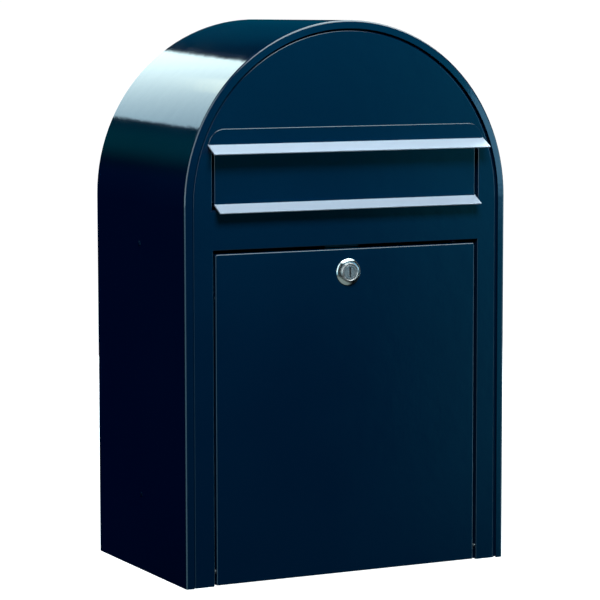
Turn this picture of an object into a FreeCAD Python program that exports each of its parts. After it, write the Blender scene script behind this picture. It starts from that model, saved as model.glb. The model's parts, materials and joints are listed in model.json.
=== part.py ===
import FreeCAD, Part

import math
import os

V = FreeCAD.Vector

# Wall-hung mailbox of folded sheet steel: an arched casing with a recessed front, an outward-opening mail
# flap under a hood, and a locked emptying door hinged along its lower edge.
# Frame: millimetres, +X to the right seen from the front, +Y to the back, +Z up, origin at the middle of
# the base. Depths are worked out from FRONT, the plane of the casing's front corner.

# Driving dimensions of the casing
WIDTH = 380.0
HEIGHT = 587.0
DEPTH = 232.0
LIP_REACH = 16.0          # the hood's lip in front of FRONT
SHEET = 1.2

RADIUS = WIDTH / 2
INNER_RADIUS = RADIUS - SHEET
ARCH_Z = HEIGHT - RADIUS
FRONT = -(DEPTH - LIP_REACH) / 2
BACK = FRONT + DEPTH

# Front rim of the casing and the groove between it and the fascia
RIM_INNER_RADIUS = 181.5
RIM_LEAN = 1.2            # the rim's inner edge stands this far in front of its corner
FASCIA_RADIUS = 180.0
FASCIA_Y = FRONT + 1.0
FASCIA_BACK = FASCIA_Y + SHEET
GROOVE_Y = FASCIA_Y + 3.4
TIGHT_BEND = 1.0          # inside radius of the fascia's folds
RIM_BEND = 1.3            # inside radius of the casing's front fold

# Back and floor
PAN_FLANGE = 14.0
WALL_HOLE_RADIUS = 3.5
WALL_HOLE_SPACING = 240.0
WALL_HOLE_Z = 210.0

# Plugged holes in the side walls
PLUG_HEAD_RADIUS = 3.0
PLUG_HEAD_HEIGHT = 0.7
PLUG_SHANK_RADIUS = 2.0
PLUG_HEIGHTS = (82.0, 351.5)

# Door
DOOR_HALF = 154.4
DOOR_BOTTOM = 0.8
DOOR_TOP = 347.5
DOOR_Y = FASCIA_Y + 0.8
DOOR_EDGE = 1.9           # rounding where the door's face turns into its flanges
DOOR_CORNER = 2.4
DOOR_FLANGE = 14.0
DOOR_TOP_FLANGE = 8.5
DOOR_OPENING_HALF = 157.3
DOOR_OPENING_TOP = 351.4
DOOR_OPENING_EDGE = 0.5   # rounding of the fascia's edge round the door
OPENING_FLANGE = 16.0

# Door hinge
HINGE_Y = DOOR_Y + 3.9
HINGE_Z = 15.0
FLOOR_FRONT_Y = HINGE_Y + 16.0
PIN_RADIUS = 1.5
BUSHING_RADIUS = 2.3
BUSHING_FLANGE_RADIUS = 2.8
EAR_RADIUS = 14.2
EAR_BACK = 10.5           # how far the ear reaches behind the pin
RUNNING_GAP = 0.05

# Mail flap
FLAP_HALF = 154.8
FLAP_Y = FASCIA_Y + 1.6
FLAP_EDGE = 1.5           # rounding of the flap's side edges
FLAP_ROOT_Z = 398.8       # where the grip strip leaves the flap's face
FLAP_OPENING_HALF = 158.0
FLAP_OPENING_BOTTOM = 393.0
FLAP_OPENING_EDGE = 1.0
FLAP_ROD_RADIUS = 2.0
FLAP_BORE_RADIUS = FLAP_ROD_RADIUS + RUNNING_GAP
FLAP_KNUCKLE_RADIUS = FLAP_BORE_RADIUS + SHEET
FLAP_AXIS_Y = FLAP_Y + FLAP_KNUCKLE_RADIUS
FLAP_AXIS_Z = 454.0
FLAP_LIP_TIP_Y = FLAP_Y - 14.2

# Hood and lips
HOOD_HALF = 162.9
HOOD_THICKNESS = 1.5
HOOD_Y = FASCIA_Y - HOOD_THICKNESS
HOOD_ROOT_Z = 460.3
HOOD_TOP = 476.6
HOOD_CORNER = 18.5
LIP_SLOPE = math.tan(math.radians(29.0))
STRIP_SHEET = 1.5

# Mail chute
CHUTE_HALF = 157.2
CHUTE_TOP = 476.0
CHUTE_SHEET = 1.0

# Lock
LOCK_Z = 322.5
LOCK_FRONT = DOOR_Y - 5.6
BEZEL_RADIUS = 14.2
BEZEL_RIM = 0.8           # the bezel's thickness at its outer edge
BEZEL_THICKNESS = 2.6
BEZEL_FACE_RADIUS = 11.2  # where the bezel's cone ends
COLLAR_RADIUS = 10.1
BARREL_RADIUS = 9.0
PLUG_RADIUS = 7.9
PLUG_RECESS = 0.6         # the plug's face behind the collar's
BARREL_END = DOOR_Y + 16.8
CAM_Y = BARREL_END + 0.3
CAM_SHEET = 2.0
CAM_REACH = 36.0
TAIL_HALF = 3.5

# Fasteners
STUD_RADIUS = 2.0
STUD_HOLE_RADIUS = 2.2
NUT_WIDTH = 7.0
NUT_THICKNESS = 3.2
HOOD_STUD_X = (-130.0, -65.0, 0.0, 65.0, 130.0)
FLAP_STUD_X = (-140.0, -70.0, 0.0, 70.0, 140.0)
CHUTE_STUD_X = (-110.0, 0.0, 110.0)
STRIKE_STUD_X = (-12.0, 12.0)
HOOD_STUD_Z = 468.0
FLAP_STUD_Z = 405.5
CHUTE_STUD_Z = 482.0
STRIKE_STUD_Z = 381.0
STUD_REACH = 6.5

# Stops and strike
STOP_Z = 305.0
STOP_ARM_Y = DOOR_Y + 17.0
STOP_RIVET_Y = DOOR_Y + 9.5
STOP_RIVET_RADIUS = 1.6
FLAP_BUFFER_X = 110.0
FLAP_STOP_Y = FASCIA_Y + 10.0
STRIKE_Y = CAM_Y - SHEET - 0.6


# ---------------------------------------------------------------- shapes

def box(x0, x1, y0, y1, z0, z1):
    return Part.makeBox(x1 - x0, y1 - y0, z1 - z0, V(x0, y0, z0))


def rod_x(radius, x0, x1, y, z):
    return Part.makeCylinder(radius, x1 - x0, V(x0, y, z), V(1, 0, 0))


def rod_y(radius, y0, y1, x, z):
    return Part.makeCylinder(radius, y1 - y0, V(x, y0, z), V(0, 1, 0))


def front_plane(x, z):
    return V(x, 0, z)


def side_plane(y, z):
    return V(0, y, z)


def arch_plane(radius, y):
    return V(radius, y, ARCH_Z)


def rounded_loop(corners, plane):
    """Closed wire through (u, v, radius) corners, placed in space by plane(u, v)."""
    points = [V(u, v, 0) for u, v, radius in corners]
    arcs, starts, ends = [], [], []
    for i, here in enumerate(points):
        radius = corners[i][2]
        back = (points[i - 1] - here).normalize()
        ahead = (points[(i + 1) % len(points)] - here).normalize()
        half = back.getAngle(ahead) / 2
        reach = radius / math.tan(half)
        inward = (back + ahead).normalize()
        starts.append(here + back * reach)
        ends.append(here + ahead * reach)
        arcs.append(here + inward * (radius / math.sin(half) - radius))
    edges = []
    for i, here in enumerate(points):
        start, middle, end = (plane(p.x, p.y) for p in (starts[i], arcs[i], ends[i]))
        if corners[i][2]:
            edges.append(Part.Arc(start, middle, end).toShape())
        following = starts[(i + 1) % len(points)]
        if ends[i].distanceToPoint(following) > 1e-6:
            edges.append(Part.makeLine(end, plane(following.x, following.y)))
    return Part.Wire(edges)


def bent_sheet(path, thickness, bend, plane):
    """Section of a folded sheet. One side follows path, and the sheet lies to the left of it, or to the
    right where thickness is negative. bend is the inside radius of its folds."""
    points = [V(u, v, 0) for u, v in path]
    runs = [(b - a).normalize() for a, b in zip(points, points[1:])]
    normals = [V(-run.y, run.x, 0) for run in runs]
    near, far = [], []
    for i, here in enumerate(points):
        first = normals[max(i - 1, 0)]
        second = normals[min(i, len(normals) - 1)]
        mitre = (first + second) * (1 / (1 + first.dot(second)))
        offset = here + mitre * thickness
        near_radius = far_radius = 0
        if 0 < i < len(points) - 1:
            towards_sheet = runs[i - 1].cross(runs[i]).z * thickness > 0
            near_radius = bend + abs(thickness) if towards_sheet else bend
            far_radius = bend if towards_sheet else bend + abs(thickness)
        near.append((here.x, here.y, near_radius))
        far.append((offset.x, offset.y, far_radius))
    return Part.Face(rounded_loop(near + far[::-1], plane))


def prism_x(face, half):
    """A section in the YZ plane, drawn out to both sides."""
    face = face.copy()
    face.translate(V(-half, 0, 0))
    return face.extrude(V(2 * half, 0, 0))


def arch_sweep(section):
    """A section at the foot of the arch, carried up one leg, round the crown and down the other."""
    leg = section.extrude(V(0, 0, -ARCH_Z))
    crown = section.revolve(V(0, 0, ARCH_Z), V(0, -1, 0), 180)
    return leg.fuse([crown, leg.mirror(V(0, 0, 0), V(1, 0, 0))]).removeSplitter()


def arch_plate(radius, y0, y1):
    left, right = V(-radius, y0, ARCH_Z), V(radius, y0, ARCH_Z)
    foot_left, foot_right = V(-radius, y0, 0), V(radius, y0, 0)
    crown = Part.Arc(left, V(0, y0, ARCH_Z + radius), right).toShape()
    outline = Part.Wire([Part.makeLine(foot_left, left), crown, Part.makeLine(right, foot_right),
                         Part.makeLine(foot_right, foot_left)])
    return Part.Face(outline).extrude(V(0, y1 - y0, 0))


def mirrored(shape):
    return shape.mirror(V(0, 0, 0), V(1, 0, 0))


def both_sides(shape):
    return [shape, mirrored(shape)]


def group(solids):
    return Part.makeCompound(list(solids))


def round_edges(shape, radius, chosen):
    """Rounds the edges whose bounding box passes the test."""
    return shape.makeFillet(radius, [edge for edge in shape.Edges if chosen(edge.BoundBox)])


def near(value, target):
    return abs(value - target) < 0.01


def in_plane_y(bounds, y):
    return near(bounds.YMin, y) and near(bounds.YMax, y)


def under_slope(root_y, root_z):
    """Everything under a lip's sloping top, which passes through (root_y, root_z)."""
    reach = 30.0
    low = root_z - 2 * reach
    corners = [(root_y - reach, root_z - reach * LIP_SLOPE, 0), (root_y - reach, low, 0),
               (root_y + reach, low, 0), (root_y + reach, root_z + reach * LIP_SLOPE, 0)]
    return prism_x(Part.Face(rounded_loop(corners, side_plane)), RADIUS)


def lip_strip(half, leg_y, leg_top, root_y, root_z, tip_y):
    """Angle strip: a leg behind the plate it is fixed to, and a lip that slopes out under that plate."""
    fold_z = root_z + (leg_y - root_y) * LIP_SLOPE
    tip_z = root_z - (root_y - tip_y) * LIP_SLOPE
    path = [(leg_y, leg_top), (leg_y, fold_z), (tip_y, tip_z)]
    strip = prism_x(bent_sheet(path, STRIP_SHEET, 0.3, side_plane), half)
    return round_edges(strip, 0.4, lambda b: b.XLength > half and b.YMax < tip_y + STRIP_SHEET)


def hex_nut(x, y, z):
    corner = NUT_WIDTH / math.sqrt(3)
    points = [V(x + corner * math.cos(math.radians(60 * i)), y, z + corner * math.sin(math.radians(60 * i)))
              for i in range(7)]
    body = Part.Face(Part.makePolygon(points)).extrude(V(0, NUT_THICKNESS, 0))
    chamfer = Part.makeCone(corner, corner - NUT_THICKNESS / 2, NUT_THICKNESS, V(x, y, z), V(0, 1, 0))
    chamfer = chamfer.fuse(Part.makeCylinder(corner - 0.4, NUT_THICKNESS, V(x, y, z), V(0, 1, 0)))
    return body.common(chamfer).cut(rod_y(STUD_RADIUS, y - 1, y + NUT_THICKNESS + 1, x, z))


# ---------------------------------------------------------------- casing

def casing_wrap():
    path = [(RADIUS, BACK), (RADIUS, FRONT), (RIM_INNER_RADIUS, FRONT - RIM_LEAN)]
    wrap = arch_sweep(bent_sheet(path, -SHEET, RIM_BEND, arch_plane))
    middle_y = FRONT + DEPTH / 2
    holes = [rod_x(PLUG_SHANK_RADIUS, -RADIUS - 1, RADIUS + 1, middle_y, z) for z in PLUG_HEIGHTS]
    return wrap.cut(holes)


def back_panel():
    path = [(RADIUS - 40, BACK), (INNER_RADIUS, BACK), (INNER_RADIUS, BACK - PAN_FLANGE)]
    edge = arch_sweep(bent_sheet(path, -SHEET, TIGHT_BEND, arch_plane))
    edge = edge.cut(box(-WIDTH, WIDTH, BACK - DEPTH, BACK - SHEET, -1, SHEET + 0.1))
    panel = edge.fuse(arch_plate(RADIUS - 39, BACK - SHEET, BACK)).removeSplitter()
    offset = WALL_HOLE_SPACING / 2
    holes = [rod_y(WALL_HOLE_RADIUS, BACK - SHEET - 1, BACK + 1, x, WALL_HOLE_Z + dz)
             for x in (-offset, offset) for dz in (-offset, offset)]
    return panel.cut(holes)


def floor_panel():
    back_y = BACK - SHEET
    flange_end = BACK - PAN_FLANGE - 2.0
    lip_top = HINGE_Z - 0.6
    tab = box(90, 110, HINGE_Y + 10.0, FLOOR_FRONT_Y + SHEET, lip_top - SHEET, lip_top)
    pieces = [box(-150, 150, FLOOR_FRONT_Y, FLOOR_FRONT_Y + SHEET, 0, lip_top),
              box(-186, 186, back_y - SHEET, back_y, 0, PAN_FLANGE)]
    pieces += both_sides(box(INNER_RADIUS - SHEET, INNER_RADIUS, FLOOR_FRONT_Y, flange_end, 0, PAN_FLANGE))
    pieces += both_sides(tab)
    floor = box(-INNER_RADIUS, INNER_RADIUS, FLOOR_FRONT_Y, back_y, 0, SHEET)
    return floor.fuse(pieces).removeSplitter()


def side_hole_plugs():
    middle_y = FRONT + DEPTH / 2
    dome_radius = (PLUG_HEAD_RADIUS ** 2 + PLUG_HEAD_HEIGHT ** 2) / (2 * PLUG_HEAD_HEIGHT)
    plugs = []
    for z in PLUG_HEIGHTS:
        centre = V(RADIUS + PLUG_HEAD_HEIGHT - dome_radius, middle_y, z)
        head = Part.makeSphere(dome_radius, centre).common(
            box(RADIUS, RADIUS + 2, middle_y - 9, middle_y + 9, z - 9, z + 9))
        shank = rod_x(PLUG_SHANK_RADIUS, RADIUS - 4.5, RADIUS, middle_y, z)
        barb = Part.makeCone(PLUG_SHANK_RADIUS, PLUG_SHANK_RADIUS + 0.6, 1.8,
                             V(RADIUS - 3.2, middle_y, z), V(1, 0, 0))
        plugs += both_sides(head.fuse([shank, barb]))
    return group(plugs)


# ---------------------------------------------------------------- front

def front_fascia():
    path = [(FASCIA_RADIUS - 6, FASCIA_Y), (FASCIA_RADIUS, FASCIA_Y), (FASCIA_RADIUS, GROOVE_Y),
            (INNER_RADIUS, GROOVE_Y)]
    edge = arch_sweep(bent_sheet(path, SHEET, TIGHT_BEND, arch_plane))
    face = arch_plate(FASCIA_RADIUS - 5, FASCIA_Y, FASCIA_BACK)
    door_top, flap_low = DOOR_OPENING_TOP, FLAP_OPENING_BOTTOM
    door_half, flap_half = DOOR_OPENING_HALF, FLAP_OPENING_HALF
    face = face.cut([box(-door_half, door_half, FASCIA_Y - 1, FASCIA_Y + 3, -1, door_top),
                     box(-flap_half, flap_half, FASCIA_Y - 1, FASCIA_Y + 3, flap_low, HOOD_ROOT_Z)])
    flanges = [box(-door_half, door_half, FASCIA_Y, FASCIA_Y + 11, door_top, door_top + SHEET),
               box(-flap_half, flap_half, FASCIA_Y, FLAP_STOP_Y, flap_low - SHEET, flap_low)]
    flanges += both_sides(box(door_half, door_half + SHEET, FASCIA_Y, FASCIA_Y + OPENING_FLANGE,
                              0, door_top + SHEET))
    flanges += both_sides(box(flap_half, flap_half + SHEET, FASCIA_Y, FASCIA_Y + 13,
                              flap_low - SHEET, HOOD_ROOT_Z))
    flanges += both_sides(box(FLAP_BUFFER_X - 6, FLAP_BUFFER_X + 6, FLAP_STOP_Y - SHEET, FLAP_STOP_Y,
                              flap_low, flap_low + 12))
    shape = edge.fuse([face] + flanges).removeSplitter()

    def door_edge(bounds):
        sides = near(abs(bounds.XMin), door_half) and near(bounds.XLength, 0) and bounds.ZMax < door_top + 1
        head = near(bounds.ZMin, door_top) and near(bounds.ZLength, 0) and bounds.XLength > door_half
        return in_plane_y(bounds, FASCIA_Y) and (sides or head)

    def flap_side(bounds):
        upright = near(abs(bounds.XMin), flap_half) and near(bounds.XLength, 0) and bounds.ZMin > door_top
        return in_plane_y(bounds, FASCIA_Y) and upright

    shape = round_edges(shape, DOOR_OPENING_EDGE, door_edge)
    shape = round_edges(shape, FLAP_OPENING_EDGE, flap_side)
    shape = shape.cut(under_slope(HOOD_Y, HOOD_ROOT_Z).common(
        box(-flap_half, flap_half, FASCIA_Y - 1, FASCIA_BACK + 0.01, HOOD_ROOT_Z - 5, HOOD_ROOT_Z + 5)))
    spots = [(x, CHUTE_STUD_Z) for x in CHUTE_STUD_X] + [(x, STRIKE_STUD_Z) for x in STRIKE_STUD_X]
    shape = shape.fuse([rod_y(STUD_RADIUS, FASCIA_BACK, FASCIA_BACK + STUD_REACH, x, z) for x, z in spots])
    holes = [rod_y(STUD_HOLE_RADIUS, FASCIA_Y - 1, FASCIA_BACK + 1, x, HOOD_STUD_Z) for x in HOOD_STUD_X]
    holes += [rod_x(PIN_RADIUS, -door_half - 3, door_half + 3, HINGE_Y, HINGE_Z),
              rod_x(FLAP_ROD_RADIUS, -flap_half - 3, flap_half + 3, FLAP_AXIS_Y, FLAP_AXIS_Z)]
    holes += [rod_x(STOP_RIVET_RADIUS, -door_half - 3, door_half + 3, STOP_RIVET_Y, STOP_Z + dz)
              for dz in (-5, 5)]
    return shape.cut(holes)


def hood_plate():
    low = HOOD_ROOT_Z - 5
    corners = [(-HOOD_HALF, low, 0), (-HOOD_HALF, HOOD_TOP, HOOD_CORNER), (HOOD_HALF, HOOD_TOP, HOOD_CORNER),
               (HOOD_HALF, low, 0)]
    plate = Part.Face(rounded_loop(corners, lambda x, z: V(x, HOOD_Y, z))).extrude(V(0, HOOD_THICKNESS, 0))
    plate = round_edges(plate, 1.0, lambda b: in_plane_y(b, HOOD_Y) and b.ZMax > low + 1)
    plate = plate.cut(under_slope(HOOD_Y, HOOD_ROOT_Z))
    studs = [rod_y(STUD_RADIUS, FASCIA_Y, FASCIA_BACK + STUD_REACH, x, HOOD_STUD_Z) for x in HOOD_STUD_X]
    return plate.fuse(studs)


def hood_drip_strip():
    strip = lip_strip(HOOD_HALF, FASCIA_BACK, HOOD_TOP - 2, HOOD_Y, HOOD_ROOT_Z, FRONT - LIP_REACH)
    return strip.cut([box(x0, x1, FASCIA_Y, FASCIA_BACK + 9, HOOD_ROOT_Z - 9, HOOD_TOP)
                      for x0, x1 in ((-RADIUS, -FLAP_OPENING_HALF), (FLAP_OPENING_HALF, RADIUS))]
                     + [rod_y(STUD_HOLE_RADIUS, FASCIA_Y, FASCIA_BACK + 9, x, HOOD_STUD_Z)
                        for x in HOOD_STUD_X])


def hood_nuts():
    return group(hex_nut(x, FASCIA_BACK + STRIP_SHEET, HOOD_STUD_Z) for x in HOOD_STUD_X)


def mail_chute():
    bend_y, end_y = FASCIA_Y + 75.0, FASCIA_Y + 95.0
    path = [(FASCIA_BACK, CHUTE_TOP + 12), (FASCIA_BACK, CHUTE_TOP), (bend_y, CHUTE_TOP - 12),
            (end_y, 405.0), (end_y - 10, 395.0)]
    roof = prism_x(bent_sheet(path, CHUTE_SHEET, 1.5, side_plane), CHUTE_HALF)
    roof = roof.cut(both_sides(box(130, RADIUS, FASCIA_Y, FASCIA_BACK + 4, CHUTE_TOP + 2, CHUTE_TOP + 20)))
    cheek_front = FASCIA_Y + 13.5
    roof_slope = 12 / (bend_y - FASCIA_BACK)
    corners = [(cheek_front, CHUTE_TOP - roof_slope * (cheek_front - FASCIA_BACK) + 0.5, 0),
               (bend_y, CHUTE_TOP - 11.5, 0), (end_y + 0.5, 405.0, 0), (end_y - 10, 395.2, 0),
               (cheek_front + 30, 380.0, 6), (cheek_front, 380.0, 0)]
    cheek = Part.Face(rounded_loop(corners, lambda y, z: V(CHUTE_HALF - CHUTE_SHEET, y, z)))
    cheek = cheek.extrude(V(CHUTE_SHEET, 0, 0))
    holes = [rod_y(STUD_HOLE_RADIUS, FASCIA_Y, FASCIA_BACK + 4, x, CHUTE_STUD_Z) for x in CHUTE_STUD_X]
    return roof.fuse(both_sides(cheek)).cut(holes).removeSplitter()


def chute_nuts():
    return group(hex_nut(x, FASCIA_BACK + CHUTE_SHEET, CHUTE_STUD_Z) for x in CHUTE_STUD_X)


def strike_plate():
    path = [(FASCIA_BACK, 389.0), (FASCIA_BACK, 372.0), (STRIKE_Y, 372.0), (STRIKE_Y, 346.0)]
    plate = prism_x(bent_sheet(path, SHEET, TIGHT_BEND, side_plane), 20.0)
    return plate.cut([rod_y(STUD_HOLE_RADIUS, FASCIA_Y, FASCIA_BACK + 4, x, STRIKE_STUD_Z)
                      for x in STRIKE_STUD_X])


def strike_nuts():
    return group(hex_nut(x, FASCIA_BACK + SHEET, STRIKE_STUD_Z) for x in STRIKE_STUD_X)


def door_stop_brackets():
    base_x = DOOR_OPENING_HALF + SHEET
    end_y = STOP_ARM_Y + SHEET
    bracket = box(base_x, base_x + SHEET, STOP_RIVET_Y - 5, end_y, STOP_Z - 9, STOP_Z + 9)
    bracket = bracket.fuse(box(146, base_x + SHEET, STOP_ARM_Y, end_y, STOP_Z - 9, STOP_Z + 9))
    bracket = bracket.removeSplitter()
    bracket = bracket.cut([rod_x(STOP_RIVET_RADIUS, base_x - 1, base_x + 3, STOP_RIVET_Y, STOP_Z + dz)
                           for dz in (-5, 5)])
    return group(both_sides(bracket))


def door_stop_rivets():
    seat_x = DOOR_OPENING_HALF
    tail_x = seat_x + 2 * SHEET
    rivets = []
    for z in (STOP_Z - 5, STOP_Z + 5):
        shank = rod_x(STOP_RIVET_RADIUS, seat_x, tail_x, STOP_RIVET_Y, z)
        head = rod_x(3.0, seat_x - 0.9, seat_x, STOP_RIVET_Y, z)
        tail = rod_x(2.6, tail_x, tail_x + 1.4, STOP_RIVET_Y, z)
        rivets += both_sides(shank.fuse([head, tail]))
    return group(rivets)


def door_buffers():
    buffer_y = DOOR_Y + DOOR_FLANGE + 0.3
    buffer = rod_y(4.0, buffer_y, STOP_ARM_Y, 151.5, STOP_Z)
    buffer = round_edges(buffer, 0.8, lambda b: in_plane_y(b, buffer_y))
    return group(both_sides(buffer))


def hinge_pin():
    seat_x = DOOR_OPENING_HALF + SHEET
    shank = rod_x(PIN_RADIUS, DOOR_HALF - 4.0, seat_x, HINGE_Y, HINGE_Z)
    head = rod_x(PIN_RADIUS + 1.8, seat_x, seat_x + 1.8, HINGE_Y, HINGE_Z)
    head = round_edges(head, 0.8, lambda b: near(b.XMin, seat_x + 1.8) and near(b.XLength, 0))
    return shank.fuse(head)


def flap_hinge_rod():
    reach = FLAP_OPENING_HALF + SHEET + 2.5
    return rod_x(FLAP_ROD_RADIUS, -reach, reach, FLAP_AXIS_Y, FLAP_AXIS_Z)


def flap_rod_clips():
    seat_x = FLAP_OPENING_HALF + SHEET
    clip = rod_x(3.6, seat_x, seat_x + 0.8, FLAP_AXIS_Y, FLAP_AXIS_Z)
    cap = rod_x(2.9, seat_x + 0.8, seat_x + 1.6, FLAP_AXIS_Y, FLAP_AXIS_Z)
    clip = clip.fuse(cap).cut(rod_x(FLAP_ROD_RADIUS, seat_x - 1, seat_x + 3, FLAP_AXIS_Y, FLAP_AXIS_Z))
    return group(both_sides(clip))


def flap_buffers():
    seat_y = FLAP_STOP_Y - SHEET
    front_y = FLAP_Y + SHEET + STRIP_SHEET + 0.3
    z = FLAP_OPENING_BOTTOM + 8
    buffer = rod_y(3.5, front_y, seat_y, FLAP_BUFFER_X, z)
    buffer = round_edges(buffer, 0.5, lambda b: in_plane_y(b, front_y))
    return group(both_sides(buffer))


# ---------------------------------------------------------------- flap

def mail_flap():
    plate = box(-FLAP_HALF, FLAP_HALF, FLAP_Y, FLAP_Y + SHEET, FLAP_ROOT_Z - 3, FLAP_AXIS_Z)
    sides = both_sides(box(FLAP_HALF - SHEET, FLAP_HALF, FLAP_Y, FLAP_Y + 6.0,
                           FLAP_ROOT_Z - 3, FLAP_AXIS_Z - FLAP_KNUCKLE_RADIUS - 1.2))
    flap = plate.fuse(sides).removeSplitter()
    flap = round_edges(flap, FLAP_EDGE, lambda b: in_plane_y(b, FLAP_Y) and near(abs(b.XMin), FLAP_HALF)
                       and near(b.XLength, 0))
    knuckle = rod_x(FLAP_KNUCKLE_RADIUS, -FLAP_HALF, FLAP_HALF, FLAP_AXIS_Y, FLAP_AXIS_Z)
    bore = rod_x(FLAP_BORE_RADIUS, -FLAP_HALF - 1, FLAP_HALF + 1, FLAP_AXIS_Y, FLAP_AXIS_Z)
    studs = [rod_y(STUD_RADIUS, FLAP_Y + SHEET, FLAP_Y + SHEET + STUD_REACH, x, FLAP_STUD_Z)
             for x in FLAP_STUD_X]
    flap = flap.cut(under_slope(FLAP_Y, FLAP_ROOT_Z))
    return flap.fuse([knuckle] + studs).cut(bore).removeSplitter()


def flap_grip_strip():
    leg_y = FLAP_Y + SHEET
    strip = lip_strip(FLAP_HALF, leg_y, FLAP_ROOT_Z + 15, FLAP_Y, FLAP_ROOT_Z, FLAP_LIP_TIP_Y)
    notches = both_sides(box(FLAP_HALF - SHEET - 0.2, FLAP_HALF + 1, leg_y - 0.5, leg_y + 9,
                             FLAP_ROOT_Z - 9, FLAP_ROOT_Z + 20))
    holes = [rod_y(STUD_HOLE_RADIUS, FLAP_Y, FLAP_Y + 9, x, FLAP_STUD_Z) for x in FLAP_STUD_X]
    return strip.cut(notches + holes)


def flap_strip_nuts():
    return group(hex_nut(x, FLAP_Y + SHEET + STRIP_SHEET, FLAP_STUD_Z) for x in FLAP_STUD_X)


# ---------------------------------------------------------------- door

def door_panel():
    back_y = DOOR_Y + DOOR_FLANGE
    plate = box(-DOOR_HALF, DOOR_HALF, DOOR_Y, DOOR_Y + SHEET, DOOR_BOTTOM, DOOR_TOP)
    head = box(-DOOR_HALF, DOOR_HALF, DOOR_Y, DOOR_Y + DOOR_TOP_FLANGE, DOOR_TOP - SHEET, DOOR_TOP)
    side = box(DOOR_HALF - SHEET, DOOR_HALF, DOOR_Y, back_y, HINGE_Z, DOOR_TOP)
    side = side.cut(box(DOOR_HALF - 2, DOOR_HALF + 1, DOOR_Y + DOOR_TOP_FLANGE, back_y + 1,
                        DOOR_TOP - 6, DOOR_TOP + 1))
    ear = rod_x(EAR_RADIUS, DOOR_HALF - SHEET, DOOR_HALF, HINGE_Y, HINGE_Z).common(
        box(DOOR_HALF - 2, DOOR_HALF + 1, DOOR_Y, HINGE_Y + EAR_BACK, 0, HINGE_Z + 1))
    door = plate.fuse([head] + both_sides(side) + both_sides(ear)).removeSplitter()
    door = round_edges(door, DOOR_CORNER, lambda b: near(abs(b.XMin), DOOR_HALF) and near(b.XLength, 0)
                       and near(b.ZMin, DOOR_TOP) and near(b.ZLength, 0))
    door = round_edges(door, DOOR_EDGE, lambda b: in_plane_y(b, DOOR_Y) and b.ZMax > DOOR_BOTTOM + 1)
    return door.cut([rod_x(BUSHING_RADIUS, -DOOR_HALF - 1, DOOR_HALF + 1, HINGE_Y, HINGE_Z),
                     rod_y(BARREL_RADIUS, DOOR_Y - 1, DOOR_Y + 3, 0, LOCK_Z)])


def door_bushing():
    inner_x = DOOR_HALF - SHEET - 1.4
    sleeve = rod_x(BUSHING_RADIUS, inner_x, DOOR_HALF + 1.4, HINGE_Y, HINGE_Z)
    collar = rod_x(BUSHING_FLANGE_RADIUS, DOOR_HALF, DOOR_HALF + 1.4, HINGE_Y, HINGE_Z)
    bore = rod_x(PIN_RADIUS + RUNNING_GAP, inner_x - 1, DOOR_HALF + 3, HINGE_Y, HINGE_Z)
    return sleeve.fuse(collar).cut(bore)


# ---------------------------------------------------------------- lock

def turned(profile):
    """A solid of revolution about the lock's axis, from (radius, y) corners with their rounding."""
    loop = rounded_loop(profile, lambda radius, y: V(radius, y, LOCK_Z))
    return Part.Face(loop).revolve(V(0, 0, LOCK_Z), V(0, 1, 0), 360)


def lock_bezel():
    front = DOOR_Y - BEZEL_THICKNESS
    return turned([(BARREL_RADIUS, DOOR_Y, 0), (BEZEL_RADIUS, DOOR_Y, 0),
                   (BEZEL_RADIUS, DOOR_Y - BEZEL_RIM, 0.4), (BEZEL_FACE_RADIUS, front, 0.5),
                   (BARREL_RADIUS, front, 0)])


def lock_housing():
    bezel_front = DOOR_Y - BEZEL_THICKNESS
    bore = PLUG_RADIUS + RUNNING_GAP
    return turned([(bore, BARREL_END, 0), (BARREL_RADIUS, BARREL_END, 0), (BARREL_RADIUS, bezel_front, 0),
                   (COLLAR_RADIUS + 0.5, bezel_front, 0), (COLLAR_RADIUS, LOCK_FRONT, 0.7),
                   (bore, LOCK_FRONT, 0.2)])


def lock_washer():
    return turned([(BARREL_RADIUS, DOOR_Y + SHEET, 0), (14.0, DOOR_Y + SHEET, 0),
                   (14.0, DOOR_Y + SHEET + 1, 0.3), (BARREL_RADIUS, DOOR_Y + SHEET + 1, 0)])


def lock_nut():
    across = 24.0
    y = DOOR_Y + SHEET + 1
    corner = across / math.sqrt(3)
    points = [V(corner * math.cos(math.radians(60 * i)), y, LOCK_Z + corner * math.sin(math.radians(60 * i)))
              for i in range(7)]
    body = Part.Face(Part.makePolygon(points)).extrude(V(0, 4.5, 0))
    chamfer = turned([(0, y, 0), (corner, y, 0), (corner, y + 3.5, 0), (corner - 1.6, y + 4.5, 0),
                      (0, y + 4.5, 0)])
    return body.common(chamfer).cut(rod_y(BARREL_RADIUS, y - 1, y + 6, 0, LOCK_Z))


def lock_plug():
    face_y = LOCK_FRONT + PLUG_RECESS
    barrel = turned([(0, face_y, 0), (PLUG_RADIUS, face_y, 0.3), (PLUG_RADIUS, BARREL_END + 0.2, 0),
                     (0, BARREL_END + 0.2, 0)])
    tail = box(-TAIL_HALF, TAIL_HALF, BARREL_END, CAM_Y + CAM_SHEET,
               LOCK_Z - TAIL_HALF, LOCK_Z + TAIL_HALF)
    slot = box(-0.9, 0.9, face_y - 1, face_y + 14, LOCK_Z - 5.2, LOCK_Z + 5.2)
    dish = rod_y(6.0, face_y - 1, face_y + 0.3, 0, LOCK_Z)
    thread = rod_y(1.8, CAM_Y - 4, CAM_Y + CAM_SHEET + 1, 0, LOCK_Z)
    return barrel.fuse(tail).cut([slot, dish, thread])


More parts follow.
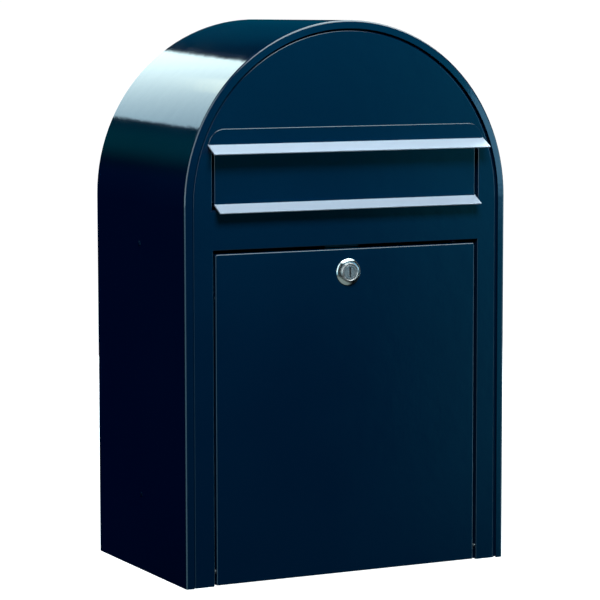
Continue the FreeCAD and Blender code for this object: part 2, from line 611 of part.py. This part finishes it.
def lock_cam():
    low = LOCK_Z - CAM_REACH
    corners = [(-9, LOCK_Z + 9, 7), (-9, LOCK_Z - 8, 4), (-6.5, low, 4), (6.5, low, 4),
               (9, LOCK_Z - 8, 4), (9, LOCK_Z + 9, 7)]
    cam = Part.Face(rounded_loop(corners, lambda x, z: V(x, CAM_Y, z))).extrude(V(0, CAM_SHEET, 0))
    return cam.cut(box(-TAIL_HALF, TAIL_HALF, CAM_Y - 1, CAM_Y + CAM_SHEET + 1,
                       LOCK_Z - TAIL_HALF, LOCK_Z + TAIL_HALF))


def cam_screw():
    seat = CAM_Y + CAM_SHEET
    screw = turned([(0, seat - 5.5, 0), (1.8, seat - 5.5, 0), (1.8, seat, 0), (5.2, seat, 0),
                    (5.2, seat + 2.4, 1.2), (0, seat + 2.4, 0)])
    cross = [box(-3, 3, seat + 1.4, seat + 3, LOCK_Z - 0.5, LOCK_Z + 0.5),
             box(-0.5, 0.5, seat + 1.4, seat + 3, LOCK_Z - 3, LOCK_Z + 3)]
    return screw.cut(cross)


PARTS = {
    "casing_wrap": casing_wrap,
    "back_panel": back_panel,
    "floor_panel": floor_panel,
    "side_hole_plugs": side_hole_plugs,
    "front_fascia": front_fascia,
    "hood_plate": hood_plate,
    "hood_drip_strip": hood_drip_strip,
    "hood_nuts": hood_nuts,
    "mail_chute": mail_chute,
    "chute_nuts": chute_nuts,
    "strike_plate": strike_plate,
    "strike_nuts": strike_nuts,
    "door_stop_brackets": door_stop_brackets,
    "door_stop_rivets": door_stop_rivets,
    "door_buffers": door_buffers,
    "right_door_hinge_pin": hinge_pin,
    "left_door_hinge_pin": lambda: mirrored(hinge_pin()),
    "flap_hinge_rod": flap_hinge_rod,
    "flap_rod_clips": flap_rod_clips,
    "flap_buffers": flap_buffers,
    "mail_flap": mail_flap,
    "flap_grip_strip": flap_grip_strip,
    "flap_strip_nuts": flap_strip_nuts,
    "door_panel": door_panel,
    "right_door_bushing": door_bushing,
    "left_door_bushing": lambda: mirrored(door_bushing()),
    "lock_bezel": lock_bezel,
    "lock_housing": lock_housing,
    "lock_washer": lock_washer,
    "lock_nut": lock_nut,
    "lock_plug": lock_plug,
    "lock_cam": lock_cam,
    "cam_screw": cam_screw,
}

os.makedirs("parts", exist_ok=True)
for name, make in PARTS.items():
    shape = make()
    shape.exportStep(f"parts/{name}.step")
    state = "valid" if shape.isValid() else "INVALID"
    print(f"{name}: {len(shape.Solids)} solid(s), {shape.Volume / 1000:.2f} cm3, {state}")
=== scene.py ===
"""Mailbox of folded, powder-coated sheet steel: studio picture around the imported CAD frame."""
import json
import math

import bmesh
import bpy
from mathutils import Euler, Matrix, Vector


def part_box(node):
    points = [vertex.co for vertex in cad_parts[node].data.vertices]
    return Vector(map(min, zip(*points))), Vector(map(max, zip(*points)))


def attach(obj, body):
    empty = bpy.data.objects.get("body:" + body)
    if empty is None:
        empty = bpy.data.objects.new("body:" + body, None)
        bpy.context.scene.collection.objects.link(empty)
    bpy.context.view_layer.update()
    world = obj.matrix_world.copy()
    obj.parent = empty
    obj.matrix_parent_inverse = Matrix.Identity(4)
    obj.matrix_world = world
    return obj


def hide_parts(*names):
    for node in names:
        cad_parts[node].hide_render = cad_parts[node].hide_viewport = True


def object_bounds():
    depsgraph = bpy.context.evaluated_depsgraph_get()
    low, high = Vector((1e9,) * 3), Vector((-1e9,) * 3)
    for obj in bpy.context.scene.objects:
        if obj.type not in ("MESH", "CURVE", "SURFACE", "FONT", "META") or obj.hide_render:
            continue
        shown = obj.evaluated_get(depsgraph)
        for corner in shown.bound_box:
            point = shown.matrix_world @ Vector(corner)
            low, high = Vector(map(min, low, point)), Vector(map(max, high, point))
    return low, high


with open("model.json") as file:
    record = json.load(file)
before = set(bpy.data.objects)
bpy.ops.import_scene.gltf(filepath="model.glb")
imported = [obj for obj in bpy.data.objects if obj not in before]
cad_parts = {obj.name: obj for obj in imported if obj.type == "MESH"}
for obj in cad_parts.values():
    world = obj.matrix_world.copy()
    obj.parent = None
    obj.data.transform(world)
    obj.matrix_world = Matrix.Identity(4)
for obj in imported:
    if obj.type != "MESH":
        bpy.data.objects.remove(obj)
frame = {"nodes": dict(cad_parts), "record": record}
cad_low, cad_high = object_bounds()
nodes = frame["nodes"]

MM = 0.001


# ---------------------------------------------------------------- node trees

class Tree:
    """A node tree, with short calls for what materials and the sky share."""

    def __init__(self, tree):
        self.tree = tree

    def node(self, kind, **settings):
        node = self.tree.nodes.new(kind)
        for key, value in settings.items():
            setattr(node, key, value)
        return node

    def join(self, source, target):
        self.tree.links.new(source, target)

    def maths(self, operation, *values):
        """Each value is a number or another node's output."""
        node = self.node("ShaderNodeMath", operation=operation)
        for socket, value in zip(node.inputs, values):
            if isinstance(value, (int, float)):
                socket.default_value = value
            else:
                self.join(value, socket)
        return node.outputs["Value"]


class Shader(Tree):
    """A material built on the Principled shader."""

    def __init__(self, name):
        self.material = bpy.data.materials.new(name)
        self.material.use_nodes = True
        super().__init__(self.material.node_tree)
        self.bsdf = self.tree.nodes["Principled BSDF"]
        self.place = self.node("ShaderNodeTexCoord").outputs["Object"]

    def drive(self, socket, source):
        """Lets a node's output vary a shader socket over the surface."""
        self.join(source, self.bsdf.inputs[socket])

    def fix(self, socket, value):
        """Gives a shader socket one value all over."""
        self.bsdf.inputs[socket].default_value = value

    def stretched(self, scale):
        """Object coordinates multiplied axis by axis."""
        node = self.node("ShaderNodeMapping")
        node.inputs["Scale"].default_value = scale
        self.join(self.place, node.inputs["Vector"])
        return node.outputs["Vector"]

    def noise(self, scale, detail=3.0, roughness=0.5, place=None):
        node = self.node("ShaderNodeTexNoise")
        node.inputs["Scale"].default_value = scale
        node.inputs["Detail"].default_value = detail
        node.inputs["Roughness"].default_value = roughness
        self.join(place or self.place, node.inputs["Vector"])
        return node.outputs["Fac"]

    def ranged(self, value, source, target):
        """Maps the source range (low, high) to the target range, and holds it there."""
        node = self.node("ShaderNodeMapRange")
        for key, number in zip(("From Min", "From Max", "To Min", "To Max"), (*source, *target)):
            node.inputs[key].default_value = number
        self.join(value, node.inputs["Value"])
        return node.outputs["Result"]

    def mixed(self, factor, first, second):
        node = self.node("ShaderNodeMix", data_type="RGBA")
        self.join(factor, node.inputs["Factor"])
        node.inputs["A"].default_value = (*first, 1.0)
        node.inputs["B"].default_value = (*second, 1.0)
        return node.outputs["Result"]

    def bumped(self, height, depth, after=None):
        node = self.node("ShaderNodeBump")
        node.inputs["Strength"].default_value = 1.0
        node.inputs["Distance"].default_value = depth
        self.join(height, node.inputs["Height"])
        if after:
            self.join(after, node.inputs["Normal"])
        return node.outputs["Normal"]


# ---------------------------------------------------------------- materials

def navy_paint():
    """Glossy powder coat: faint orange peel, slightly uneven gloss, dust specks sealed under it."""
    s = Shader("navy_paint")
    cloud = s.ranged(s.noise(6.0, detail=2.0), (0.35, 0.65), (0.0, 1.0))
    s.drive("Base Color", s.mixed(cloud, (0.0002, 0.0150, 0.0460), (0.0003, 0.0170, 0.0500)))
    haze = s.ranged(s.noise(28.0), (0.3, 0.7), (0.05, 0.08))
    specks = s.ranged(s.noise(900.0), (0.55, 0.8), (0.0, 0.04))
    s.drive("Roughness", s.maths("ADD", haze, specks))
    fine_peel = s.bumped(s.noise(330.0, detail=1.0), 0.02 * MM)
    s.drive("Normal", s.bumped(s.noise(60.0, detail=1.0), 0.05 * MM, after=fine_peel))
    s.fix("IOR", 1.5)
    return s.material


def navy_plastic():
    """Moulded gloss plastic in the paint's colour."""
    s = Shader("navy_plastic")
    s.drive("Base Color", s.mixed(s.noise(200.0), (0.0010, 0.0140, 0.0430), (0.0012, 0.0170, 0.0500)))
    s.drive("Roughness", s.ranged(s.noise(700.0), (0.3, 0.7), (0.20, 0.30)))
    return s.material


def satin_aluminium():
    """Anodised strip, etched matt and faintly grained along its length. Its pale blue-grey colour is a
    painted reflection: the glare of the light above on the lips, set into the colour.
    """
    s = Shader("satin_aluminium")
    grain = s.noise(1.0, detail=6.0, roughness=0.7, place=s.stretched((9.0, 1400.0, 1400.0)))
    # painted reflection: the pale bluish colour stands in for the overhead glare on the lips; the grain mixed
    # into it is real
    s.drive("Base Color", s.mixed(grain, (0.485, 0.545, 0.655), (0.575, 0.625, 0.720)))
    s.drive("Roughness", s.ranged(grain, (0.3, 0.7), (0.30, 0.42)))
    s.drive("Normal", s.bumped(grain, 0.01 * MM))
    s.fix("Metallic", 0.06)
    return s.material


def chrome():
    """Chrome plate, slightly hazy from handling."""
    s = Shader("chrome")
    haze = s.noise(500.0, detail=4.0)
    s.drive("Base Color", s.mixed(haze, (0.44, 0.48, 0.48), (0.56, 0.60, 0.60)))
    s.drive("Roughness", s.ranged(haze, (0.35, 0.7), (0.12, 0.20)))
    s.fix("Metallic", 0.9)
    return s.material


def satin_nickel():
    """Die-cast and nickel-plated, with a fine uneven grain."""
    s = Shader("satin_nickel")
    grain = s.noise(2500.0, detail=4.0)
    s.drive("Base Color", s.mixed(grain, (0.20, 0.18, 0.18), (0.50, 0.46, 0.44)))
    s.drive("Roughness", s.ranged(grain, (0.3, 0.7), (0.28, 0.42)))
    s.drive("Normal", s.bumped(grain, 0.03 * MM))
    s.fix("Metallic", 0.6)
    return s.material


def zinc_plate():
    """Bright zinc plate, its crystal patches just visible."""
    s = Shader("zinc_plate")
    patch = s.node("ShaderNodeTexVoronoi")
    patch.inputs["Scale"].default_value = 260.0
    s.join(s.place, patch.inputs["Vector"])
    s.drive("Base Color", s.mixed(patch.outputs["Distance"], (0.62, 0.63, 0.64), (0.50, 0.52, 0.54)))
    s.drive("Roughness", s.ranged(s.noise(600.0), (0.3, 0.7), (0.28, 0.45)))
    s.fix("Metallic", 1.0)
    return s.material


def rubber():
    """Matt black moulded rubber."""
    s = Shader("rubber")
    s.drive("Base Color", s.mixed(s.noise(300.0), (0.012, 0.012, 0.013), (0.025, 0.025, 0.026)))
    s.drive("Roughness", s.ranged(s.noise(900.0), (0.3, 0.7), (0.6, 0.85)))
    s.drive("Normal", s.bumped(s.noise(1500.0), 0.03 * MM))
    return s.material


def nylon():
    """Black nylon, smoother than the rubber."""
    s = Shader("nylon")
    s.drive("Base Color", s.mixed(s.noise(150.0), (0.020, 0.020, 0.022), (0.032, 0.032, 0.034)))
    s.drive("Roughness", s.ranged(s.noise(800.0), (0.3, 0.7), (0.4, 0.55)))
    return s.material


FINISHES = {make.__name__: make() for make in (navy_paint, navy_plastic, satin_aluminium, chrome,
                                               satin_nickel, zinc_plate, rubber, nylon)}

for entry in frame["record"]["subparts"]:
    part = nodes[entry["node"]]
    part.data.materials.clear()
    part.data.materials.append(FINISHES[entry["material_slot"]])


# ---------------------------------------------------------------- lock front

LOCK_SEGMENTS = 128
CREASE = 25.0                # degrees; sharper edges are rounded
BEVEL_STEPS = 3
MERGE_DISTANCE = 1e-7
BARREL_INSET = 5.2 * MM      # from the bezel's edge in to the housing's barrel
BORE_INSET = 6.25 * MM       # from the bezel's edge in to the housing's bore


def turned(name, profile, axis_x, axis_z, finish, soften=0.12 * MM):
    """A piece turned about the lock's axis, from closed (radius, y) corners. soften rounds its edges."""
    count = len(profile)
    verts, faces = [], []
    for step in range(LOCK_SEGMENTS):
        angle = 2 * math.pi * step / LOCK_SEGMENTS
        verts += [(axis_x + r * math.cos(angle), y, axis_z + r * math.sin(angle)) for r, y in profile]
        here = step * count
        after = (step + 1) % LOCK_SEGMENTS * count
        for i in range(count):
            following = (i + 1) % count
            faces.append((here + i, here + following, after + following, after + i))
    mesh = bpy.data.meshes.new(name)
    mesh.from_pydata(verts, [], faces)
    mesh.update()
    piece = bpy.data.objects.new(name, mesh)
    bpy.context.scene.collection.objects.link(piece)
    work = bmesh.new()
    work.from_mesh(mesh)
    bmesh.ops.remove_doubles(work, verts=work.verts, dist=MERGE_DISTANCE)
    bmesh.ops.recalc_face_normals(work, faces=work.faces)
    work.to_mesh(mesh)
    work.free()
    mesh.shade_smooth()
    bevel = piece.modifiers.new("soften", "BEVEL")
    bevel.width = soften
    bevel.segments = BEVEL_STEPS
    bevel.limit_method = "ANGLE"
    bevel.angle_limit = math.radians(CREASE)
    bevel.harden_normals = True
    mesh.materials.append(FINISHES[finish])
    return piece


def lock_front():
    """The lock's bezel and housing, turned finer than the CAD nodes they stand for."""
    bezel_low, bezel_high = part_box("lock_bezel")
    housing_low, housing_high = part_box("lock_housing")
    axis_x = (bezel_low.x + bezel_high.x) / 2
    axis_z = (bezel_low.z + bezel_high.z) / 2
    radius = (bezel_high.x - bezel_low.x) / 2
    barrel = radius - BARREL_INSET
    bore = radius - BORE_INSET
    back, face = bezel_high.y, bezel_low.y

    rim = 0.8 * MM                # the bezel's thickness at its outer edge
    chamfer = 0.25 * MM
    land = barrel + 1.6 * MM      # the bezel's cone ends here, short of the barrel
    bezel = turned("lock_bezel_turned",
                   [(barrel, back), (radius, back), (radius, back - rim),
                    (radius - chamfer, back - rim - chamfer), (land, face), (barrel, face)],
                   axis_x, axis_z, "chrome")
    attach(bezel, "door")
    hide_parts("lock_bezel")

    front = housing_low.y
    foot = barrel + 1.2 * MM      # the collar's radius where it stands on the bezel
    shoulder = (barrel + 1.1 * MM, front + 0.9 * MM)
    outer_crest = (barrel + 0.5 * MM, front + 0.15 * MM)
    inner_crest = (bore + 0.7 * MM, front)
    dish = (bore + 0.1 * MM, front + 0.6 * MM)
    throat = (bore, front + 1.0 * MM)
    collar = turned("lock_collar_turned",
                    [(bore, housing_high.y), (barrel, housing_high.y), (barrel, face), (foot, face),
                     shoulder, outer_crest, inner_crest, dish, throat],
                    axis_x, axis_z, "satin_nickel", soften=0.25 * MM)
    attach(collar, "door")
    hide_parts("lock_housing")


lock_front()


# ---------------------------------------------------------------- stage and light

FLOOR_SIZE = 60.0
FLOOR_GLOW = 1.0
BACKDROP_STRENGTH = 1.05     # the plain white that the camera sees beyond the floor
SHADE = (0.55, 0.8, 1.0)     # the faint light that reaches matt surfaces from all round
SHADE_STRENGTH = 0.05
COOL_WHITE = (0.80, 0.95, 1.0)
SUN_ENERGY = 0.12
SUN_SPREAD = 70.0            # degrees


def floor():
    """A wide white floor, which the gloss doesn't see."""
    bpy.ops.mesh.primitive_plane_add(size=FLOOR_SIZE)
    plane = bpy.context.object
    plane.name = "floor"
    s = Shader("floor_white")
    s.drive("Base Color", s.mixed(s.noise(3.0), (0.80, 0.80, 0.80), (0.82, 0.82, 0.82)))
    s.fix("Roughness", 0.9)
    s.fix("Specular IOR Level", 0.0)
    s.fix("Emission Color", (1, 1, 1, 1))
    s.fix("Emission Strength", FLOOR_GLOW)
    plane.data.materials.append(s.material)
    plane.visible_glossy = False
    plane.visible_diffuse = False


def area_light(name, place, aim, size, power):
    """A lamp that lights matt surfaces only: the gloss sees the sky's soft boxes instead."""
    data = bpy.data.lights.new(name, "AREA")
    data.shape = "RECTANGLE"
    data.size, data.size_y = size
    data.energy = power
    data.color = COOL_WHITE
    lamp = bpy.data.objects.new(name, data)
    bpy.context.scene.collection.objects.link(lamp)
    lamp.location = place
    lamp.rotation_euler = (Vector(aim) - Vector(place)).to_track_quat("-Z", "Y").to_euler()
    lamp.visible_camera = False
    lamp.visible_glossy = False


def overhead_sun():
    """A wide, weak sun straight above, for the soft shadow under the box."""
    sun = bpy.data.lights.new("overhead_sun", "SUN")
    sun.energy = SUN_ENERGY
    sun.angle = math.radians(SUN_SPREAD)
    lamp = bpy.data.objects.new("overhead_sun", sun)
    bpy.context.scene.collection.objects.link(lamp)
    lamp.visible_glossy = False


def tangent(degrees):
    return math.tan(math.radians(degrees))


class Sky(Tree):
    """The studio as the gloss sees it: black, with soft boxes placed by direction. A place is
    (azimuth, elevation) in degrees, with the azimuth from +Y towards +X."""

    def __init__(self):
        world = bpy.data.worlds.new("studio")
        bpy.context.scene.world = world
        world.use_nodes = True
        super().__init__(world.node_tree)
        self.tree.nodes.clear()
        self.way = self.node("ShaderNodeTexCoord").outputs["Generated"]
        self.total = None

    def axes(self, place, lean=0.0):
        """Unit vectors to a place on the sky, across it and up it. lean turns these two about the first."""
        a, e, t = (math.radians(angle) for angle in (*place, lean))
        centre = Vector((math.sin(a) * math.cos(e), math.cos(a) * math.cos(e), math.sin(e)))
        across = Vector((math.cos(a), -math.sin(a), 0.0))
        above = across.cross(centre)
        return centre, across * math.cos(t) + above * math.sin(t), above * math.cos(t) - across * math.sin(t)

    def dot(self, vector):
        node = self.node("ShaderNodeVectorMath", operation="DOT_PRODUCT")
        self.join(self.way, node.inputs[0])
        node.inputs[1].default_value = vector
        return node.outputs["Value"]

    def offset(self, vector, centre):
        """How far a ray's direction lies from the centre along the vector, as a tangent."""
        return self.maths("DIVIDE", self.dot(vector), self.maths("MAXIMUM", self.dot(centre), 0.001))

    def rising(self, value, low, high):
        """0 below low, 1 above high, smooth between."""
        node = self.node("ShaderNodeMapRange", interpolation_type="SMOOTHSTEP")
        self.join(value, node.inputs["Value"])
        node.inputs["From Min"].default_value = low
        node.inputs["From Max"].default_value = high
        return node.outputs["Result"]

    def trimmed(self, mask, offset, inner, outer):
        """The mask as it is up to the inner offset, falling to 0 at the outer one."""
        return self.maths("MULTIPLY", mask, self.maths("SUBTRACT", 1.0, self.rising(offset, inner, outer)))

    def hemisphere(self, centre):
        """1 on the centre's half of the sky, 0 on the other half."""
        return self.rising(self.dot(centre), 0.0, 0.05)

    def shine(self, mask, colour):
        """Adds the colour to the sky where the mask is."""
        tint = self.node("ShaderNodeVectorMath", operation="SCALE")
        tint.inputs[0].default_value = colour
        self.join(mask, tint.inputs["Scale"])
        if self.total:
            node = self.node("ShaderNodeVectorMath", operation="ADD")
            self.join(self.total, node.inputs[0])
            self.join(tint.outputs["Vector"], node.inputs[1])
            self.total = node.outputs["Vector"]
        else:
            self.total = tint.outputs["Vector"]

    def soft_box(self, place, half_size, colour, strength, edge, lean=0.0):
        """A rectangle of light. half_size is its half width and half height in degrees, and edge is the
        soft share of each."""
        centre, across, above = self.axes(place, lean)
        mask = self.hemisphere(centre)
        for vector, half in zip((across, above), half_size):
            reach = tangent(half)
            offset = self.maths("ABSOLUTE", self.offset(vector, centre))
            mask = self.trimmed(mask, offset, reach * (1 - edge), reach)
        self.shine(mask, [part * strength for part in colour])

    def patch(self, place, sides, left_colour, right_colour, fade, edge):
        """A patch of light between straight sides, each (the way it faces, its distance) in degrees about the
        place. Its colour turns from left_colour to right_colour over the fade."""
        centre, across, above = self.axes(place)
        mask = self.hemisphere(centre)
        for facing, distance in sides:
            turn = math.radians(facing)
            offset = self.offset(across * math.cos(turn) + above * math.sin(turn), centre)
            mask = self.trimmed(mask, offset, tangent(distance - edge), tangent(distance))
        level = self.rising(self.offset(across, centre), *(tangent(degrees) for degrees in fade))
        self.shine(mask, left_colour)
        self.shine(self.maths("MULTIPLY", mask, level),
                   [right - left for left, right in zip(left_colour, right_colour)])

    def background(self, strength, colour=None):
        node = self.node("ShaderNodeBackground")
        node.inputs["Strength"].default_value = strength
        if colour:
            node.inputs["Color"].default_value = (*colour, 1.0)
        return node

    def either(self, test, no, yes):
        """One of two shaders, by a light path test."""
        node = self.node("ShaderNodeMixShader")
        for socket, source in zip(node.inputs, (test, no.outputs[0], yes.outputs[0])):
            self.join(source, socket)
        return node

    def finish(self):
        """The camera sees plain white, the gloss sees the soft boxes, and everything else the shade."""
        path = self.node("ShaderNodeLightPath")
        boxes = self.background(1.0)
        self.join(self.total, boxes.inputs["Color"])
        lit = self.either(path.outputs["Is Glossy Ray"], self.background(SHADE_STRENGTH, SHADE), boxes)
        seen = self.either(path.outputs["Is Camera Ray"], lit, self.background(BACKDROP_STRENGTH, (1, 1, 1)))
        self.join(seen.outputs[0], self.node("ShaderNodeOutputWorld").inputs["Surface"])


def studio():
    sky = Sky()
    # behind the box, high: lies in the left shoulder of the arch, with a small brighter spot
    sky.patch((-6.0, 29.0), ((55.2, 3.0), (-100.2, 13.95), (180.0, 25.0), (90.0, 12.0)),
              (1.62, 2.52, 3.06), (3.70, 4.80, 4.95), fade=(-16.0, 9.0), edge=0.6)
    sky.soft_box((-6.5, 24.95), (3.2, 1.3), (1.0, 1.0, 0.6), 1.2, edge=0.5, lean=14.6)
    # behind the box, right: the crown's teal, and left: the side wall's blue
    sky.soft_box((20.0, 13.0), (13.0, 14.0), (0.0, 0.42, 0.80), 0.145, edge=0.6)
    sky.soft_box((-21.0, 12.0), (10.0, 7.0), (0.0, 0.36, 0.45), 0.30, edge=0.9)
    sky.soft_box((-26.0, -4.0), (14.0, 12.0), (0.0, 0.0, 1.0), 0.05, edge=0.5)
    # to the left: runs down the front corner of the casing and the left edges of the flap
    sky.soft_box((-112.0, 24.0), (38.0, 30.0), (0.75, 0.95, 1.0), 3.6, edge=0.3)
    sky.soft_box((-112.0, -8.0), (38.0, 12.0), (0.45, 0.85, 1.0), 2.0, edge=0.4)
    # overhead: top edges of the door, hood and flap, and the crown's front corner
    sky.soft_box((120.0, 64.0), (50.0, 32.0), (0.80, 0.96, 1.0), 9.0, edge=0.35)
    # front right: the leaning rim of the casing
    sky.soft_box((132.4, 5.4), (4.6, 10.0), (0.31, 0.68, 1.0), 2.7, edge=0.22)
    # right: the right-hand edges
    sky.soft_box((72.0, -2.0), (24.0, 20.0), (0.55, 0.88, 1.0), 1.6, edge=0.5)
    sky.soft_box((123.0, -5.0), (5.5, 12.0), (0.45, 0.80, 1.0), 7.0, edge=0.3)
    # front right, dim: lightens the right-hand end of the front
    sky.soft_box((140.0, -1.0), (13.0, 13.0), (0.04, 0.38, 0.54), 1.0, edge=0.5)
    # front right, wide: the teal tint of the front faces, stronger towards the top
    sky.soft_box((148.0, 8.0), (30.0, 17.0), (0.0, 0.60, 1.0), 0.70, edge=0.9)
    # below, front left: the floor in the lock's bezel
    sky.soft_box((-160.0, -52.0), (50.0, 36.0), (0.66, 0.80, 0.76), 0.55, edge=0.5)
    sky.finish()
    area_light("key", place=(-0.30, -1.35, 1.75), aim=(0.0, -0.1, 0.40), size=(0.9, 0.6), power=36.0)
    area_light("back_fill", place=(0.25, 1.7, 0.45), aim=(0.0, 0.0, 0.30), size=(1.2, 0.9), power=30.0)
    overhead_sun()


# ---------------------------------------------------------------- camera

HOOD_REACH = 16.0 * MM       # the hood's lip in front of the casing
CAMERA_X = -1.3338
CAMERA_AHEAD = 2.5386        # in front of the casing
CAMERA_Z = 0.6002
CAMERA_TURN = -26.685        # degrees, as the next two
CAMERA_DIP = 6.117
CAMERA_ROLL = -0.095
SENSOR_WIDTH = 36.0          # millimetres, as the lens
LENS = 163.83


def hero_camera():
    """Three-quarter view from the front left, a little above the box."""
    data = bpy.data.cameras.new("hero")
    camera = bpy.data.objects.new("hero", data)
    bpy.context.scene.collection.objects.link(camera)
    data.sensor_width = SENSOR_WIDTH
    data.lens = LENS
    data.clip_start = 0.05
    data.clip_end = 100.0
    casing_front = cad_low.y + HOOD_REACH
    camera.location = (CAMERA_X, casing_front - CAMERA_AHEAD, CAMERA_Z)
    level = Euler((math.radians(90 - CAMERA_DIP), 0.0, math.radians(CAMERA_TURN))).to_matrix()
    camera.rotation_euler = (level @ Matrix.Rotation(math.radians(CAMERA_ROLL), 3, "Z")).to_euler()
    bpy.context.scene.camera = camera


def colour_settings():
    """Colours as they are lit, with no film curve."""
    settings = bpy.context.scene.view_settings
    settings.view_transform = "Standard"
    settings.look = "None"
    settings.exposure = 0.0
    settings.gamma = 1.0


floor()
studio()
hero_camera()
colour_settings()
